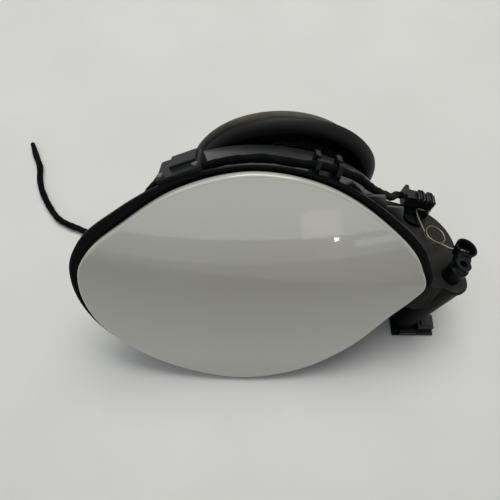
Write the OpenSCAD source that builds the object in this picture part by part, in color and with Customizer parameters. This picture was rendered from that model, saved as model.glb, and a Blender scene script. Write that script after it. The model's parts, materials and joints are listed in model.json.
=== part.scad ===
/* [Flap] */
// Length of the flap, tip to tip
flap_length = 226; // [216:1:236]
// Height of the flap across the panel
flap_height = 172; // [166:1:178]
// Radius of the flap's domed face
dome_r = 850; // [700:10:1100]
// Height of the styling crease above the middle of the flap
crease_y = 12.5; // [8:0.5:16]
// Turn of the crease against the flap's long side, in degrees
crease_turn = -7; // [-10:0.5:-4]
// How sharply the face breaks at the crease
crease_break = 20; // [8:1:30]
// Thickness of the painted skin
skin_wall = 2.4; // [1.8:0.1:3]
// Depth of the skin's turned-down edge, from the middle of the face
skin_edge = 9.6; // [9.2:0.1:10]
// Thickness of the inner carrier
carrier_wall = 2; // [1.6:0.1:2.4]
// Thickness of the carrier's ribs
rib_wall = 1.6; // [1.2:0.1:2]

/* [Bowl] */
// Distance of the bowl's flange behind the middle of the flap
flange_drop = 12; // [11.6:0.1:12.6]
// Thickness of the flange
flange_wall = 2; // [1.6:0.1:2.6]
// Distance of the mouth's edge inside the flap's edge
mouth_inset = 9; // [8:0.5:11]
// Thickness of the bowl's wall
bowl_wall = 2.4; // [1.8:0.1:3]
// Width of the bowl's floor
floor_width = 150; // [144:1:156]
// Height of the bowl's floor
floor_height = 114; // [110:1:118]
// Distance of the bowl's floor behind the flap, along the filler neck
floor_back = 80; // [76:1:84]
// Radius of the opening for the filler neck's head
neck_r = 44; // [40:0.5:46]
// Length of the collar that carries the gaiter
collar_length = 13; // [11:0.5:15]

/* [Gaiter] */
// Radius of the gaiter's open front lip
lip_r = 66.4; // [65:0.2:68]
// Radius of the hole that grips the filler neck
filler_r = 30; // [26:0.5:33]
// Length of the gaiter along the filler neck
gaiter_length = 22; // [19:0.5:26]
// Thickness of the gaiter's rubber
rubber = 2.6; // [2:0.1:3.2]

/* [Hinge] */
// Radius of the hinge pin
pin_r = 2.7; // [2.2:0.1:3]
// Running clearance round the hinge pin
pin_fit = 0.05; // [0.03:0.01:0.1]
// Thickness of the wall that holds the hinge pin
plate_wall = 2.5; // [2:0.1:3]
// Radius of the knuckle on the swan-neck arm
knuckle_r = 5.2; // [4.8:0.1:5.6]
// Width of the swan-neck arm along the pin
arm_width = 22; // [18:0.5:24]
// Thickness of the swan-neck arm
arm_wall = 6; // [5:0.2:6.4]
// Radius of the arm's bend, at its middle line
bend_r = 24; // [22:0.5:25]
// Depth of the arm's bend behind the hinge pin
bend_back = 28; // [26:0.5:30]
// Clear space round the moving arm
arm_gap = 1.4; // [1:0.1:2]

/* [Spring] */
// Thickness of the spring wire
wire_d = 1.6; // [1.3:0.1:1.8]
// Radius of the spring's coil, at the middle of its wire
coil_r = 7.5; // [6.5:0.1:8.2]
// Radius of the cup on the spring lever
cup_r = 7.8; // [7.2:0.1:8.4]
// Distance of the cup from the hinge pin
cup_reach = 16.5; // [15.5:0.1:17.5]

/* [Lock] */
// Length of the actuator's case
case_length = 27; // [25:0.5:29]
// Depth of the actuator's case behind the flange
case_depth = 24; // [22:0.5:26]
// Height of the actuator's case above the bowl's wall
case_height = 11; // [10:0.5:12]
// Radius of the locking pin
lock_r = 3; // [2.6:0.1:3.2]
// Clear space between the locking pin and its guide
lock_fit = 0.1; // [0.06:0.01:0.15]

/* [Wiring] */
// Thickness of the taped loom
loom_d = 5.6; // [5:0.1:6]
// Thickness of a single wire
lead_d = 1.4; // [1.2:0.1:1.6]

/* [Hidden] */

// Angle by which the panel leans back as the assembly rests
lean = 60;
// Height of the middle of the flap above the ground
rest_height = 85.95;
// Move that brings the middle of the assembly's footprint over the origin
home = [-19.5, -39.3, 0];
// Outline of the flap in hundredths of its half length and half height, from the left tip round by the bottom
flap_shape = [[-99, -3.5], [-94, -38], [-74, -70], [-42.5, -95], [-5, -106], [32, -95], [64, -65],
    [85, -31], [95.5, -16], [101, -6], [96.5, 15], [71, 54.5], [37, 83.5], [2, 93], [-37, 80.5],
    [-67, 54.5], [-89.5, 29], [-96.5, 14]];
// How far the flange shows past the flap at each of those points
flange_reveal = [5.5, 3.5, 3, 1.5, 0, 0, -1, -4, -4, 4.5, 5.5, 4.5, 3, 1.8, 4, 7, 7.5, 6.5];
fine = 6;
coarse = 3;
// Gap between pieces that seat on each other
seat = 0.3;
// Reach of a cut past the surface that it opens
cut = 1;

// Direction of the outline at one of its points, weighted by the distance to its neighbours
function turn(p, i) =
    let (n = len(p), a = p[(i + n - 1) % n], b = p[i], c = p[(i + 1) % n], u = norm(b - a), v = norm(c - b))
    ((b - a) / u * v + (c - b) / v * u) / (u + v);
// Smooth closed curve through the points, with m steps between neighbours
function smooth(p, m) =
    [for (i = [0 : len(p) - 1], k = [0 : m - 1])
        let (t = k / m, j = (i + 1) % len(p), d = norm(p[j] - p[i]))
        (2 * t * t * t - 3 * t * t + 1) * p[i] + (t * t * t - 2 * t * t + t) * d * turn(p, i)
            + (3 * t * t - 2 * t * t * t) * p[j] + (t * t * t - t * t) * d * turn(p, j)];
// Outward direction of a closed outline at one of its points
function outward(p, i) =
    let (n = len(p), t = p[(i + 1) % n] - p[(i + n - 1) % n])
    [t[1], -t[0]] / norm(t);
function grown(p, d) = [for (i = [0 : len(p) - 1]) p[i] + d * outward(p, i)];

flap_points = [for (p = flap_shape) [p[0] * flap_length / 200, p[1] * flap_height / 200]];
flange_points = [for (i = [0 : len(flap_points) - 1])
    flap_points[i] + flange_reveal[i] * outward(flap_points, i)];

// A point of the panel, brought into the resting attitude
function rested(p) =
    [p[0], p[1] * cos(lean) - p[2] * sin(lean), p[1] * sin(lean) + p[2] * cos(lean) + rest_height];
module rest() {
    translate(home + [0, 0, rest_height]) rotate([lean, 0, 0]) children();
}

// Solid through closed rings of equally many points, from front to back
module loft(rings) {
    n = len(rings[0]);
    m = len(rings);
    sides = [for (k = [0 : m - 2], i = [0 : n - 1]) each [
        [k * n + i, k * n + (i + 1) % n, (k + 1) * n + (i + 1) % n],
        [k * n + i, (k + 1) * n + (i + 1) % n, (k + 1) * n + i]]];
    front = [for (i = [n - 1 : -1 : 0]) i];
    back = [for (i = [0 : n - 1]) (m - 1) * n + i];
    polyhedron([for (r = rings) each r], concat(sides, [front, back]), convexity = 8);
}

// Tube along a route, with the given radius and number of sides
function along(route, i) =
    let (a = route[max(i - 1, 0)], b = route[min(i + 1, len(route) - 1)]) (b - a) / norm(b - a);
function frame_side(t) = let (s = cross(t, abs(t[2]) > 0.8 ? [0, 1, 0] : [0, 0, 1])) s / norm(s);
function carried(s, t) = let (v = s - (s * t) * t) v / norm(v);
function frames(route, i = 0, s = undef, out = []) =
    i == len(route) ? out :
    let (t = along(route, i), side = s == undef ? frame_side(t) : carried(s, t))
    frames(route, i + 1, side, concat(out, [[side, cross(t, side)]]));
module tube(route, r, sides) {
    f = frames(route);
    loft([for (i = [len(route) - 1 : -1 : 0]) [for (k = [0 : sides - 1])
        route[i] + r * (cos(360 * k / sides) * f[i][0] + sin(360 * k / sides) * f[i][1])]]);
}
// Smooth open route through the points, with m steps between neighbours
function eased(p, m) =
    concat([for (i = [0 : len(p) - 2], k = [0 : m - 1])
        let (t = k / m, a = p[max(i - 1, 0)], b = p[i], c = p[i + 1], d = p[min(i + 2, len(p) - 1)])
        0.5 * (2 * b + (c - a) * t + (2 * a - 5 * b + 4 * c - d) * t * t
            + (3 * b - a - 3 * c + d) * t * t * t)], [p[len(p) - 1]]);

// Solid under the two domes that meet at the crease, lowered by the given depth
module under_domes(depth) {
    top = crease_top - depth;
    rotate([0, 0, crease_turn]) intersection() {
        translate([0, crease_y - crease_break * 1.8, top - dome_r + 0.95]) sphere(dome_r, $fn = 240);
        translate([0, crease_y + crease_break * 0.2, top - dome_r]) sphere(dome_r, $fn = 240);
    }
}
crease_top = 0.3;

// Painted outer skin with its edge turned down
module flap_skin() {
    color("gainsboro") rest() difference() {
        intersection() {
            translate([0, 0, -skin_edge]) linear_extrude(skin_edge * 2) polygon(smooth(flap_points, fine));
            under_domes(0);
        }
        intersection() {
            translate([0, 0, -skin_edge - cut])
                linear_extrude(skin_edge * 2) polygon(grown(smooth(flap_points, fine), -skin_wall));
            under_domes(skin_wall);
        }
    }
}

carrier_inset = skin_wall + seat;
carrier_foot = -flange_drop + 1;
rib_xs = [-72, -44, -16, 12, 40];
rib_ys = [-52, -24, 4, 32];
// Solid under the skin, cut to an outline, from the given foot up
module under_skin(outline, foot, depth) {
    intersection() {
        translate([0, 0, foot]) linear_extrude(-foot) polygon(outline);
        under_domes(depth);
    }
}
// Ribs on the inside of the carrier, and the pads under the arm's foot and the striker
module carrier_grid() {
    deep = flange_drop + cut;
    for (x = rib_xs) translate([x - rib_wall / 2, -flap_height, -deep]) cube([rib_wall, flap_height * 2, deep]);
    for (y = rib_ys) translate([-flap_length, y - rib_wall / 2, -deep]) cube([flap_length * 2, rib_wall, deep]);
    translate([foot_at[0], foot_at[1], -deep]) rotate([0, 0, hinge_turn])
        translate([-foot_length - 1, -foot_width / 2 - 1, 0]) cube([foot_length + 2, foot_width + 2, deep]);
    translate([lock_at[0], lock_at[1], -deep]) rotate([0, 0, lock_turn])
        translate([-eye_width, -eye_reach - eye_width / 2, 0]) cube([eye_width * 2, eye_width, deep]);
}
// Plate inside the skin, with its grid of ribs and the seats of the arm and the striker
module flap_carrier() {
    inner = grown(smooth(flap_points, coarse), -carrier_inset);
    color("dimgray") rest() difference() {
        under_skin(inner, carrier_foot, skin_wall + seat);
        difference() {
            under_skin(grown(inner, -carrier_wall), carrier_foot - cut / 2, skin_wall + seat + carrier_wall);
            carrier_grid();
        }
    }
}

// Where the locking pin crosses the bowl's wall, in the panel
lock_at = [-38, 66.5];
lock_turn = 20;
eye_width = 12;
eye_wall = 3;
eye_foot = 17;
eye_reach = 12;
eye_depth = 25;
module lock_frame() {
    rest() translate([lock_at[0], lock_at[1], -eye_depth]) rotate([0, 0, lock_turn]) children();
}
// Eye on the inside of the flap that the locking pin enters
module striker_eye() {
    foot = eye_depth + carrier_foot - seat;
    color("silver") lock_frame() translate([0, -eye_reach, 0]) {
        difference() {
            translate([-eye_width / 2, -eye_wall / 2, -eye_width / 2])
                cube([eye_width, eye_wall, eye_width / 2 + foot]);
            rotate([90, 0, 0])
                cylinder(h = eye_wall + 2 * cut, r = lock_r + 0.8, center = true, $fn = 32);
        }
        translate([-eye_foot / 2, -eye_width / 2, foot - 1.9]) cube([eye_foot, eye_width - 1.2, 1.9]);
    }
}

// Where the hinge pin's outer end lies in the panel, and how the pin is turned
hinge_at = [flap_length / 2 + 29.2, 5.5, -22];
hinge_tilt = -73;
hinge_turn = -16;
module hinge_frame() {
    rest() translate(hinge_at) rotate([hinge_tilt, 0, hinge_turn]) children();
}
plate_top = -16;
arm_top = plate_top - plate_wall - 1.2;
arm_end = arm_top - arm_width;
leg_x = 2.6;
far_x = leg_x - 2 * bend_r;
foot_at = [92, -13];
foot_length = 36;
foot_width = 22;
foot_wall = 4;
foot_top = carrier_foot - seat;
screw_r = 2;
leg_reach = 30;

// Outline of the arm, seen along the hinge pin: knuckle, two legs and the bend between them
module arm_outline() {
    circle(knuckle_r, $fn = 48);
    translate([leg_x - arm_wall / 2, 0]) square([arm_wall, bend_back]);
    translate([far_x - arm_wall / 2, -leg_reach]) square([arm_wall, bend_back + leg_reach]);
    difference() {
        translate([leg_x - bend_r, bend_back]) circle(bend_r + arm_wall / 2, $fn = 72);
        translate([leg_x - bend_r, bend_back]) circle(bend_r - arm_wall / 2, $fn = 72);
        translate([far_x - arm_wall, bend_back - 2 * bend_r]) square([2 * bend_r + 2 * arm_wall, 2 * bend_r]);
    }
}
// Swan-neck arm that reaches round the edge of the body panel
module hinge_arm() {
    color("darkslategray") difference() {
        union() {
            hinge_frame() translate([0, 0, arm_end]) linear_extrude(arm_width) arm_outline();
            rest() translate([foot_at[0], foot_at[1], foot_top - foot_wall]) rotate([0, 0, hinge_turn])
                translate([-foot_length, -foot_width / 2, 0]) cube([foot_length, foot_width, foot_wall]);
        }
        rest() translate([0, -flap_height / 2, foot_top]) cube([flap_length, flap_height, leg_reach]);
        rest() translate([foot_at[0], foot_at[1], foot_top - foot_wall - cut]) rotate([0, 0, hinge_turn])
            for (y = [-1, 1]) translate([-foot_length * 0.75, y * foot_width * 0.3, 0])
                cylinder(h = foot_wall + 2 * cut, r = screw_r, $fn = 24);
        hinge_frame() translate([0, 0, arm_end - cut]) cylinder(h = arm_width + 2 * cut, r = pin_r, $fn = 48);
    }
}

// Screws that hold the arm's foot to the carrier
module arm_screws() {
    color("silver") rest() translate([foot_at[0], foot_at[1], foot_top - foot_wall])
        rotate([0, 0, hinge_turn]) for (y = [-1, 1])
            translate([-foot_length * 0.75, y * foot_width * 0.3, 0]) {
                translate([0, 0, -2.3]) cylinder(h = 2.3, r = screw_r * 1.9, $fn = 32);
                translate([0, 0, -0.1]) cylinder(h = foot_wall, r = screw_r - 0.1, $fn = 24);
            }
}

pin_top = -3;
pin_end = arm_end - 7;
// Pin that turns with the flap in the two bushes
module hinge_pin() {
    color("lightsteelblue") hinge_frame() translate([0, 0, pin_end])
        cylinder(h = pin_top - pin_end, r = pin_r - 0.01, $fn = 48);
}

// Ring that keeps the pin from sliding out
module pin_clip() {
    color("silver") hinge_frame() translate([0, 0, arm_top + 0.25]) difference() {
        cylinder(h = 0.7, r = pin_r + 1.6, $fn = 48);
        translate([0, 0, -cut]) cylinder(h = 0.7 + 2 * cut, r = pin_r, $fn = 48);
    }
}

bush_wall = 1.2;
// Bushes pressed into the two walls of the hinge pocket
module hinge_bushes() {
    color("ivory") hinge_frame() for (b = [[plate_top - plate_wall, plate_wall], [pocket_end - 6, 6]])
        translate([0, 0, b[0]]) difference() {
            cylinder(h = b[1], r = pin_r + pin_fit + bush_wall, $fn = 48);
            translate([0, 0, -cut]) cylinder(h = b[1] + 2 * cut, r = pin_r + pin_fit, $fn = 48);
        }
}

hub_r = 6.6;
boss_r = 5.6;
cup_turn = 70;
// Slot in the cup that the spring's wire comes in by
slot_turn = 158;
slot_width = wire_d + 1.4;
// Lever with the cup that the toggle spring pushes on
module spring_lever() {
    cup_at = cup_reach * [cos(cup_turn), sin(cup_turn)];
    color("slategray") hinge_frame() difference() {
        union() {
            translate([0, 0, plate_top + seat]) cylinder(h = -plate_top - seat, r = boss_r, $fn = 48);
            translate([0, 0, plate_top + seat]) cylinder(h = -plate_top - seat - 4.5, r = hub_r, $fn = 48);
            for (z = [-12.5, -9.5, -6.5]) translate([0, 0, z]) cylinder(h = 1.2, r = hub_r + 0.9, $fn = 48);
            translate([0, 0, -8]) linear_extrude(7.4) rotate([0, 0, cup_turn])
                translate([0, -boss_r + 0.8]) square([cup_reach, boss_r * 2 - 1.6]);
            translate([cup_at[0], cup_at[1], -8]) cylinder(h = 8, r1 = cup_r * 0.8, r2 = cup_r, $fn = 48);
        }
        translate([cup_at[0], cup_at[1], -5.5]) cylinder(h = 6.5, r1 = cup_r * 0.62, r2 = cup_r - 0.9, $fn = 48);
        translate([cup_at[0], cup_at[1], -8 - cut]) rotate([0, 0, slot_turn])
            translate([0, -slot_width / 2, 0]) cube([cup_r + cut, slot_width, 8 + 2 * cut]);
        translate([0, 0, plate_top - cut]) cylinder(h = cut * 3 - plate_top, r = pin_r, $fn = 48);
    }
}

spring_z = -11.5;
coil_at = [-9.7, 30.2];
post_at = [-13.5, 50.3];
post_r = 1.9;
// Over-centre wire spring between the fixed post and the cup of the lever
module toggle_spring() {
    cup_at = cup_reach * [cos(cup_turn), sin(cup_turn)];
    post = [for (a = [200 : -30 : 50]) [post_at[0] + 2.8 * cos(a), post_at[1] + 2.8 * sin(a), spring_z]];
    coil = [for (a = [170 : 20 : 670])
        [coil_at[0] + coil_r * cos(a), coil_at[1] + coil_r * sin(a), spring_z + (a - 170) / 500 * wire_d * 1.4]];
    leg = [[-1.5, 19.5, spring_z + 3], [1.5, 16.8, spring_z + 4.2], [3.6, 16, -4.4], [6.5, 15.4, -4.2],
        [10, 14.8, -4.2]];
    color("tan") hinge_frame() tube(concat([[post_at[0] + 6.5, post_at[1] + 2, spring_z]],
        [for (i = [len(post) - 1 : -1 : 0]) post[i]], coil, leg), wire_d / 2, 8);
}

// Outline of the bowl's mouth and the matching direction round the floor and the neck
mouth = grown(smooth(flap_points, coarse), -mouth_inset);
mouth_way = [for (p = mouth) atan2(p[1] / flap_height + 0.03, p[0] / flap_length)];
floor_at = [18, 66];
neck_at = [26, 59];
floor_skew = 0.12;
function mouth_ring(z, g) = [for (p = grown(mouth, g)) rested([p[0], p[1], z])];
function floor_ring(g, back) = [for (a = mouth_way)
    let (x = floor_at[0] + (floor_width / 2 + g) * cos(a))
    [x, floor_back + back - floor_skew * (x - floor_at[0]), floor_at[1] + (floor_height / 2 + g) * sin(a)]];
function neck_ring(r, y) = [for (a = mouth_way) [neck_at[0] + r * cos(a), y, neck_at[1] + r * sin(a)]];
function between(p, q, t) = [for (i = [0 : len(p) - 1]) (1 - t) * p[i] + t * q[i]];
neck_front = floor_back + 4;
mouth_back = -flange_drop - flange_wall / 2;
neck_end = neck_front + collar_length;
// Rings of the bowl from its mouth to the end of the collar, moved outward by g
function bowl_rings(g, front, end) =
    let (m = mouth_ring(front, g), f = floor_ring(g, g))
    [m, between(m, f, 0.3), between(m, f, 0.6), between(m, f, 0.88), floor_ring(g - 4, 4 + g),
        neck_ring(neck_r + 6 + g, neck_front + 1 + g), neck_ring(neck_r + g, neck_front + 2 + g),
        neck_ring(neck_r + g, end)];
// Open shell between two sets of rings, the outer one first
module ring_shell(outer, inner) {
    n = len(outer[0]);
    m = len(outer);
    rings = concat(outer, [for (k = [m - 1 : -1 : 0]) inner[k]]);
    faces = [for (k = [0 : 2 * m - 1], i = [0 : n - 1]) each [
        [k * n + i, k * n + (i + 1) % n, ((k + 1) % (2 * m)) * n + (i + 1) % n],
        [k * n + i, ((k + 1) % (2 * m)) * n + (i + 1) % n, ((k + 1) % (2 * m)) * n + i]]];
    polyhedron([for (r = rings) each r], faces, convexity = 8);
}

limb_end = -79;
limb_top_r = 13;
limb_end_r = 8.4;
hollow_r = 5.4;
pocket_end = arm_end - 1.2;
pocket_left = far_x - 14;
pocket_deep = bend_r + arm_wall / 2 + arm_gap;
// Outline of the hinge pocket, seen along the pin, with the wall g outside the moving arm's space
module pocket_outline(g) {
    r = leg_x + arm_wall / 2 + arm_gap + g;
    circle(r, $fn = 64);
    polygon([[pocket_left, -10 - g], [-12, -10 - g], [0, -r], [r, 0], [r, bend_back], [pocket_left, bend_back]]);
    translate([leg_x - bend_r, bend_back]) circle(pocket_deep + g, $fn = 96);
    translate([pocket_left, 0]) square([leg_x - bend_r - pocket_left, bend_back + pocket_deep + g]);
}
module pocket_solid(g, top, end) {
    hinge_frame() translate([0, 0, end]) linear_extrude(top - end) pocket_outline(g);
}
// Way that the arm needs through the bowl's wall and the edge of its mouth, seen along the pin
way_points = [[-66, -45], [-30, -45], [-33, -24], [-36.6, -8], [-36.6, 45], [-66, 45]];
module arm_way() {
    hinge_frame() translate([0, 0, arm_end - 2]) linear_extrude(arm_width + 4) polygon(way_points);
}
// Spring clips stand at these points of the outline, on tabs behind the flange
clip_places = [0, 2, 5, 6];
clip_width = 10;
tab_wall = 1.6;
tab_reach = 8;
module clip_frame(i) {
    way = outward(flap_points, i);
    at = flap_points[i] + (flange_reveal[i] - mouth_inset + bowl_wall) / 2 * way;
    rest() translate([at[0], at[1], -flange_drop - flange_wall - tab_reach])
        rotate([0, 0, atan2(way[1], way[0]) - 90]) children();
}
// Stiffening wings between the bowl's wall and the hinge pocket
wing_at = -25;
wing_points = [[54, 62], [61, 66], [70, 56.5], [82, 56.5], [85, 46], [78, 38], [62, 50]];
web_at = -32;
web_points = [[74, 38], [86, 45], [97, 44], [99, 28], [88, 22]];
guide_start = -7;
guide_wall = 2.6;
// One moulding: flange, funnel-shaped bowl, collar for the gaiter and guide for the locking pin
module bowl() {
    color([0.13, 0.14, 0.15]) difference() {
        union() {
            rest() translate([0, 0, -flange_drop - flange_wall]) linear_extrude(flange_wall) difference() {
                polygon(smooth(flange_points, fine));
                polygon(grown(mouth, -0.5));
            }
            translate(home)
                ring_shell(bowl_rings(bowl_wall, mouth_back, neck_end), bowl_rings(0, mouth_back, neck_end));
            for (i = clip_places) clip_frame(i) translate([-clip_width / 2 - 1, -tab_wall / 2, 0])
                cube([clip_width + 2, tab_wall, tab_reach + flange_wall / 2]);
            rest() for (w = [[wing_points, wing_at], [web_points, web_at]])
                translate([0, 0, w[1]]) linear_extrude(bowl_wall) polygon(w[0]);
            lock_frame() rotate([-90, 0, 0]) translate([0, 0, guide_start])
                cylinder(h = -guide_start, r = lock_r + guide_wall, $fn = 48);
        }
        arm_way();
        lock_frame() rotate([-90, 0, 0]) translate([0, 0, guide_start - cut])
            cylinder(h = 60, r = lock_r + lock_fit, $fn = 48);
    }
}

// Pocket behind the body panel in which the arm swings, with the long moulded limb round the hinge pin
module hinge_pocket() {
    bush_r = pin_r + pin_fit + bush_wall;
    g = bowl_wall + seat;
    room = bowl_rings(g, mouth_back, neck_end);
    color([0.2, 0.2, 0.2]) difference() {
        union() {
            pocket_solid(bowl_wall, plate_top, pocket_end - bowl_wall);
            hinge_frame() translate([0, 0, limb_end])
                cylinder(h = plate_top - limb_end, r1 = limb_end_r, r2 = limb_top_r, $fn = 64);
        }
        pocket_solid(0, plate_top - plate_wall, pocket_end);
        arm_way();
        translate(home) loft(concat([mouth_ring(-1, g)], [for (k = [0 : 4]) room[k]], [floor_ring(g - 4, g + 14)]));
        hinge_frame() {
            translate([0, 0, pocket_end - 7]) cylinder(h = 8, r = bush_r, $fn = 48);
            translate([0, 0, plate_top - plate_wall - cut])
                cylinder(h = plate_wall + 2 * cut, r = bush_r, $fn = 48);
            translate([0, 0, limb_end - cut]) cylinder(h = 16, r = hollow_r, $fn = 48);
        }
    }
}

// Soft lip on the flange that the flap's edge closes over
module mouth_seal() {
    color("black") difference() {
        rest() translate([0, 0, -flange_drop]) linear_extrude(flange_drop + carrier_foot - seat) difference() {
            polygon(grown(smooth(flange_points, fine), -0.4));
            polygon(grown(smooth(flange_points, fine), -2));
        }
        arm_way();
    }
}

// Rubber stops that the closed flap rests on
module bump_stops() {
    places = grown(flap_points, -mouth_inset / 2);
    color("black") rest() for (i = [0, 3, 14]) translate([places[i][0], places[i][1], -flange_drop])
        cylinder(h = flange_drop + carrier_foot - seat, r = 2.4, $fn = 32);
}

// Gaiter's section: how far its centre has moved from the neck's to the lip's, radius, and distance along the neck
lip_at = [26, lip_r];
lip_y = 96;
gaiter_back = lip_y + gaiter_length;
gaiter_section = [
    [0, neck_r + bowl_wall + 3.4, lip_y - 1], [0, neck_r + bowl_wall + 3.4, lip_y + 3],
    [0, neck_r + bowl_wall + 3, gaiter_back - 6], [0.4, lip_r - 12, gaiter_back - 5],
    [1, lip_r - rubber - 0.6, lip_y + 4], [1, lip_r - 6, lip_y + 2], [1, lip_r - 7.5, lip_y + 0.6],
    [1, lip_r - 4, lip_y - 0.6], [1, lip_r - 1, lip_y], [1, lip_r, lip_y + 2], [0.8, lip_r - 3.5, lip_y + 8],
    [0.4, lip_r - 9.5, gaiter_back - 3], [0.2, lip_r - 14, gaiter_back],
    [0, filler_r + 6, gaiter_back + 0.5], [0, filler_r - 1, gaiter_back - 2],
    [0, filler_r - 1, gaiter_back - 5], [0, filler_r + 6, gaiter_back - 3],
    [0, neck_r + bowl_wall + 0.2, gaiter_back - 4], [0, neck_r + bowl_wall + 0.2, lip_y - 1]];
// Rubber gaiter between the bowl's collar and the filler neck, open to the front in a deep groove
module gaiter() {
    n = 64;
    m = len(gaiter_section);
    points = [for (s = gaiter_section, i = [0 : n - 1])
        let (c = (1 - s[0]) * neck_at + s[0] * lip_at, a = 360 * i / n)
        [c[0] + s[1] * cos(a), s[2], c[1] + s[1] * sin(a)]];
    faces = [for (k = [0 : m - 1], i = [0 : n - 1]) each [
        [k * n + i, ((k + 1) % m) * n + i, ((k + 1) % m) * n + (i + 1) % n],
        [k * n + i, ((k + 1) % m) * n + (i + 1) % n, k * n + (i + 1) % n]]];
    color([0.1, 0.1, 0.1]) translate(home) difference() {
        polyhedron(points, faces, convexity = 8);
        translate([neck_at[0], gaiter_back + cut * 2, neck_at[1]]) rotate([90, 0, 0])
            cylinder(h = 10, r = filler_r, $fn = 96);
    }
}

clamp_r = neck_r + bowl_wall + 3.5;
clamp_width = 2.8;
// Sprung band round the gaiter's bead, which clamps it to the collar
module neck_clamp() {
    color("silver") translate(home) translate([neck_at[0], lip_y + clamp_width, neck_at[1]]) rotate([90, 0, 0])
        difference() {
            cylinder(h = clamp_width, r = clamp_r + 0.8, $fn = 96);
            translate([0, 0, -cut]) cylinder(h = clamp_width + 2 * cut, r = clamp_r, $fn = 96);
        }
}

case_base = seat;
case_front = eye_depth - flange_drop - flange_wall - seat;
// Case of the lock's actuator on top of the bowl, with its motor inside
module actuator_case() {
    color("dimgray") lock_frame() difference() {
        translate([-case_length / 2, case_base, case_front - case_depth])
            cube([case_length, case_height - 3, case_depth]);
        rotate([-90, 0, 0]) cylinder(h = case_height - 3, r = lock_r + lock_fit, $fn = 48);
    }
}

// Cover of the actuator, stepped over the motor
module actuator_cover() {
    color("gray") lock_frame()
        translate([-case_length / 2, case_base + case_height - 3 + 0.1, case_front - case_depth]) {
        cube([case_length, 1.6, case_depth]);
        translate([case_length * 0.3, 1.5, 2]) cube([case_length * 0.62, 2.4, case_depth * 0.6]);
    }
}

// Screws that hold the actuator's cover
module actuator_screws() {
    color("silver") lock_frame() for (x = [-1, 1])
        translate([x * (case_length / 2 - 2.6), case_base + case_height - 1.3, case_front - case_depth + 20])
            rotate([-90, 0, 0]) cylinder(h = 1.2, r = 2, $fn = 32);
}

// Locking pin, drawn back here, which the actuator pushes through the striker's eye
module lock_pin() {
    color("silver") lock_frame() rotate([-90, 0, 0]) translate([0, 0, guide_start - 0.5])
        cylinder(h = case_height - 4 - guide_start, r = lock_r, $fn = 48);
}

// Rubber ring that keeps water out of the pin's guide
module lock_seal() {
    color("black") lock_frame() rotate([-90, 0, 0]) translate([0, 0, guide_start - 1.4]) difference() {
        cylinder(h = 1.1, r = lock_r + 2.4, $fn = 48);
        translate([0, 0, -cut]) cylinder(h = 4, r = lock_r + lock_fit, $fn = 48);
    }
}

clip_at = [43.5, 71.6, -15.6];
clip_base = 3.4;
clip_fit = 1.3;
// Moulded clip that holds the loom against the bowl
module loom_clip() {
    color("slategray") rest() translate(clip_at) rotate([0, 0, -14]) difference() {
        translate([-8, -clip_base, -15]) cube([16, 10 + clip_base, 14.6]);
        translate([-9, 1.6 + loom_d / 2, -5.4]) rotate([0, 90, 0]) cylinder(h = 18, r = loom_d / 2 + clip_fit, $fn = 32);
        translate([-9, 1.6 + loom_d / 2, -5.4 - loom_d / 2 + 0.6]) cube([18, 9, loom_d - 1.2]);
        translate([-5, -cut, -20]) cube([10, 12, 22]);
    }
}

// Route of the loom from the actuator along the bowl to the upper plug, in the panel's frame
run_points = [[-26.6, 75.2, -24], [-17.5, 78.5, -23.6], [-6, 81, -22], [10, 82, -21], [29, 79, -20.5],
    [46, 76.4, -21], [62.8, 68.4, -24.6], [74, 57.6, -33], [85, 46.5, -44.5], [94, 37.5, -57], [101.5, 29.5, -69],
    [107, 26.2, -78], [113.1, 24.5, -80.4]];
module loom_run() {
    color([0.12, 0.12, 0.12]) translate(home) tube([for (p = eased(run_points, 2)) rested(p)], loom_d / 2, 10);
}

// Route of the loom's loose end, from the actuator behind the flange down to the ground and along it
tail_points = [[-52.3, 59.8, 127.5], [-62, 58, 124.3], [-77, 51, 114], [-90, 46, 101], [-100, 48, 88], [-108, 53, 70],
    [-116, 59, 52], [-123, 66, 34], [-130, 75, 16], [-138, 83, 5], [-147, 86, 2.9], [-157, 90, 2.9],
    [-167, 96, 2.9], [-175, 105, 2.9], [-182, 116, 2.9], [-188, 128, 2.9], [-191, 138, 2.9],
    [-193, 150, 2.9], [-199, 163, 2.9], [-205, 177, 2.9]];
module loom_tail() {
    color([0.12, 0.12, 0.12]) translate(home) tube(eased(tail_points, 2), loom_d / 2, 10);
}

// Round seat on the pocket's plate and the place of the upper plug above it
seat_at = [-21.7, 48.5];
plug_at = [-31, 54.6, -12.5];
plug_size = [22, 8.5, 9];
plug_rim = 2;
// Plug at the end of the loom, with its rim and two guide ridges
module upper_plug() {
    color("dimgray") hinge_frame() translate(plug_at) {
        cube(plug_size);
        translate([-plug_rim, -2.5, -0.1]) cube([plug_rim + 0.5, plug_size[1] + 5, plug_size[2] + 1.6]);
        for (x = [9, 16]) translate([x, 0.4, plug_size[2] - 0.5]) cube([1.6, plug_size[1] - 0.8, 1.8]);
    }
}

// Round seat of the plug on the pocket's plate
module plug_flange() {
    color("darkslategray") hinge_frame() difference() {
        union() {
            translate([seat_at[0], seat_at[1], plate_top]) cylinder(h = 2.4, r = 9.2, $fn = 64);
            translate([plug_at[0] + 3, seat_at[1], plate_top]) cube([plug_size[0] - 7, plug_size[1] + 6, 3.4]);
        }
        translate([post_at[0], post_at[1], plate_top - cut]) cylinder(h = 6, r = post_r + 0.05, $fn = 32);
    }
}

// Post on the plug's seat that holds the fixed end of the spring
module spring_post() {
    color("slategray") hinge_frame() translate([post_at[0], post_at[1], plate_top])
        cylinder(h = 6, r = post_r, $fn = 32);
}

lower_at = [131.3, -3, 1.5];
lower_size = [12, 11, 7];
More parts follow.
